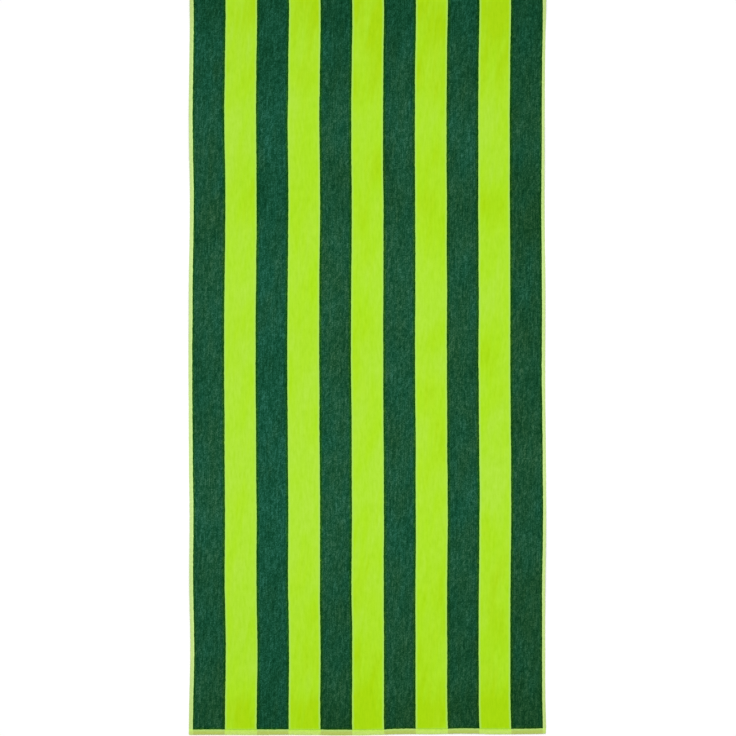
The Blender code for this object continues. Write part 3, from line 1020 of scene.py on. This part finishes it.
# %% The terry loops
def terry_material():
    """Two colours in stripes, with loops as bump and as shade between them."""
    material, tree, shader = cloth_material("cotton_terry_loops", 0.95, 0.15)
    loops = grains(tree, 1.5 * MM, 1.9 * MM, detail=2.0)
    shade = add(tree, "Math", (loops, 1.6, -0.3), operation="MULTIPLY_ADD", use_clamp=True)
    lime, dark = (
        add(tree, "Mix", {FACTOR: shade, FIRST: linear(deep), SECOND: linear(high)}, MIXED,
            data_type="RGBA")
        for deep, high in (("8CC40A", "A9E240"), ("0A3A22", "2F6A4A"))
    )
    striped = {FACTOR: stripe_places(tree)[0], FIRST: lime, SECOND: dark}
    colour = add(tree, "Mix", striped, MIXED, data_type="RGBA")
    bump = add(tree, "Bump", {"Strength": 0.8, "Distance": 0.8 * MM, "Height": loops})
    tree.links.new(colour, shader.inputs["Base Color"])
    tree.links.new(bump, shader.inputs["Normal"])
    return material


terry_cloth.data.materials.append(terry_material())
for index, piece in enumerate(velour):
    piece.data.materials.append(velour_materials[KINDS[index % 2]])
print("materials given to", 1 + len(velour), "pieces")

# %% The hem cloth
# Hem colours at the fold and beside the pile, where the warp is dark, where it is lime, and
# beyond the stripes, where it is the selvage's own pale one. The colours at the fold are darker:
# painted shade of the rounded fold.
SELVAGE = {"beyond": ("C0D987", "C8F098")}
END_CLOTH = {
    "dark": ("AABD5A", "A8CF6C"), "lime": ("B8D664", "B2DE3C"), "beyond": ("B9D26C", "BAE06A"),
}
THREAD_SPACING = 0.8 * MM  # of weft and warp, drawn a little coarser than the real ones, to show
WAVE_REPEAT = math.pi / 10  # a Wave texture repeats when its scaled coordinate grows by this
SLUBS = 0.45  # how much the thick and thin places of the yarns lighten and darken the cloth


def hem_material(name, look):
    """Woven cloth: colour by stripe and by distance from the fold, darker at the fold as painted shade,
    and threads as bump.
    """
    material, tree, shader = cloth_material(name, 0.9, 0.06)
    fold_inset, stand = (
        add(tree, "Attribute", output="Fac", attribute_name=value) for value in ("fold_inset", "stand")
    )
    ends = {"Value": fold_inset, "From Min": 0.45, "From Max": 0.9}
    inner = add(tree, "MapRange", ends, interpolation_type="SMOOTHSTEP")
    parts = {}
    for part, (fold, seam) in look.items():
        both = {FACTOR: inner, FIRST: linear(fold), SECOND: linear(seam)}
        parts[part] = add(tree, "Mix", both, MIXED, data_type="RGBA")
    colour = parts["beyond"]
    if "lime" in look:
        dark, between_hems = stripe_places(tree)
        both = {FACTOR: dark, FIRST: parts["lime"], SECOND: parts["dark"]}
        striped = add(tree, "Mix", both, MIXED, data_type="RGBA")
        both = {FACTOR: between_hems, FIRST: colour, SECOND: striped}
        colour = add(tree, "Mix", both, MIXED, data_type="RGBA")
    # On the side hems the bands give painted shade: darker and yellower where they are low.
    shades = {FACTOR: stand, FIRST: linear("F2F2E4"), SECOND: linear("FFFFFF")}
    shade = add(tree, "Mix", shades, MIXED, data_type="RGBA")
    both = {FACTOR: 1.0, FIRST: colour, SECOND: shade}
    colour = add(tree, "Mix", both, MIXED, data_type="RGBA", blend_type="MULTIPLY")
    slubs = (grains(tree, 5.0 * MM, 4.0 * MM, detail=2.0), SLUBS, 1 - SLUBS / 2)
    light = add(tree, "Math", slubs, operation="MULTIPLY_ADD")
    colour = add(tree, "HueSaturation", {"Value": light, "Color": colour})
    waves = {"Vector": add(tree, "UVMap", uv_map="cloth"), "Scale": WAVE_REPEAT / THREAD_SPACING}
    weft, warp = (
        add(tree, "TexWave", waves, "Fac", bands_direction=direction) for direction in ("X", "Y")
    )
    threads = add(tree, "Math", (weft, warp), operation="MAXIMUM")
    bump = add(tree, "Bump", {"Strength": 0.5, "Distance": 0.15 * MM, "Height": threads})
    tree.links.new(colour, shader.inputs["Base Color"])
    tree.links.new(bump, shader.inputs["Normal"])
    return material


print("weft and warp threads every", THREAD_SPACING / MM, "mm")

# %% The thread
def thread_material():
    """Twisted polyester-cotton thread, a little shinier than the cloth, in two close colours."""
    material, tree, shader = cloth_material("twisted_sewing_thread", 0.7, 0.05)
    both = {FACTOR: grains(tree, 0.3 * MM, 0.3 * MM), FIRST: linear("B4DC70"), SECOND: linear("CDEB96")}
    tree.links.new(add(tree, "Mix", both, MIXED, data_type="RGBA"), shader.inputs["Base Color"])
    return material


selvage = hem_material("turned_selvage", SELVAGE)
end_cloth = hem_material("plain_woven_end", END_CLOTH)
thread = thread_material()
for piece, material in zip([*hems, *sewing], (selvage, selvage, end_cloth, end_cloth, thread, thread)):
    piece.data.materials.append(material)
print("materials:", [material.name for material in (selvage, end_cloth, thread)])

# %% [markdown]
# ## Tie the pieces to the imported model
#
# The imported solid carries the towel's weight and size. It is hidden, and the pieces made here
# take its place and ride on its one body. The terry cloth is the sheet itself, cut 0.80 by 1.80 m,
# and the rest is sewn to it or grows out of it.

# %% Ride on the body, hide the solid
everything = [terry_cloth, *velour, *hems, *sewing]
for piece in everything:
    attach(piece, "root")
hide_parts("towel_cloth")
print("pieces:", len(everything), "triangles:", sum(piece["triangles"] for piece in everything))

# %% [markdown]
# ## Studio
#
# The towel is shown from straight above on white, as a shop shows it: a large even light over the
# middle, which fades a little towards the towel's ends, and a second one beyond the far end, whose
# slanting light brings out the ripples. The floor is plain and pale.

# %% Floor
FLOOR_HALF = 20.0  # metres, so that its edge is out of every view
floor_mesh = bpy.data.meshes.new("floor")
corner_signs = ((-1, -1), (1, -1), (1, 1), (-1, 1))
floor_corners = [(x * FLOOR_HALF, y * FLOOR_HALF, 0.0) for x, y in corner_signs]
floor_mesh.from_pydata(floor_corners, [], [(0, 1, 2, 3)])
floor = bpy.data.objects.new("floor", floor_mesh)
bpy.context.scene.collection.objects.link(floor)
paper = bpy.data.materials.new("white_studio_paper")
paper.use_nodes = True
paper_shader = paper.node_tree.nodes["Principled BSDF"]
paper_shader.inputs["Base Color"].default_value = linear("F7F7F7")
paper_shader.inputs["Roughness"].default_value = 1.0
paper_shader.inputs["Specular IOR Level"].default_value = 0.0
floor_mesh.materials.append(paper)
print("the floor is", 2 * FLOOR_HALF, "m wide")

# %% Lights
def softbox(name, place, aim, size, watts):
    """A square area light at a place, turned towards another, that the camera doesn't see."""
    lamp = bpy.data.lights.new(name, "AREA")
    lamp.shape, lamp.size, lamp.energy = "SQUARE", size, watts
    light = bpy.data.objects.new(name, lamp)
    light.location = place
    direction = np.array(aim) - np.array(place)
    azimuth = math.atan2(direction[1], direction[0])
    drop = math.atan2(-direction[2], math.hypot(direction[0], direction[1]))
    light.rotation_euler = (0.0, math.pi / 2 - drop, azimuth + math.pi)
    light.visible_camera = False
    bpy.context.scene.collection.objects.link(light)


softbox("overhead_softbox", place=(0.0, -0.08, 2.6), aim=(0.0, -0.08, 0.0), size=1.6, watts=27)

far_lamp = bpy.data.lights.new("far_end_window", "SUN")
far_lamp.energy, far_lamp.angle = 1.0, math.radians(25)
far_light = bpy.data.objects.new("far_end_window", far_lamp)
far_light.rotation_euler = (math.radians(-52), 0.0, math.radians(8))
bpy.context.scene.collection.objects.link(far_light)

world = bpy.data.worlds.new("pale_studio")
world.use_nodes = True
background = world.node_tree.nodes["Background"]
background.inputs["Color"].default_value = linear("FFFFFF")
background.inputs["Strength"].default_value = 0.62
bpy.context.scene.world = world
bpy.context.scene.view_settings.view_transform = "Standard"
print("lights:", [lamp.name for lamp in bpy.data.lights], "and", world.name)

# %% Camera
# It looks straight down through a long lens, so that the edges stay parallel. The picture is
# square, and the towel is shown a little under half as wide as it, as in the photo.
PICTURE_PIXELS, TOWEL_PIXELS = 736, 356.6  # widths of the picture and of the towel in it
MIDDLE_OF_VIEW = (1.4 * MM, -77.7 * MM)
LENS, SENSOR = 135.0, 36.0  # focal length and sensor width, in the millimetres of a real camera
shown_width = PICTURE_PIXELS * (WIDTH / TOWEL_PIXELS)
camera_data = bpy.data.cameras.new("camera")
camera_data.lens, camera_data.sensor_width = LENS, SENSOR
camera = bpy.data.objects.new("camera", camera_data)
camera.location = (*MIDDLE_OF_VIEW, shown_width * LENS / SENSOR + PILE_TOP)
bpy.context.scene.collection.objects.link(camera)
bpy.context.scene.camera = camera
print(f"the camera is {camera.location.z:.2f} m up and sees {shown_width:.3f} m")
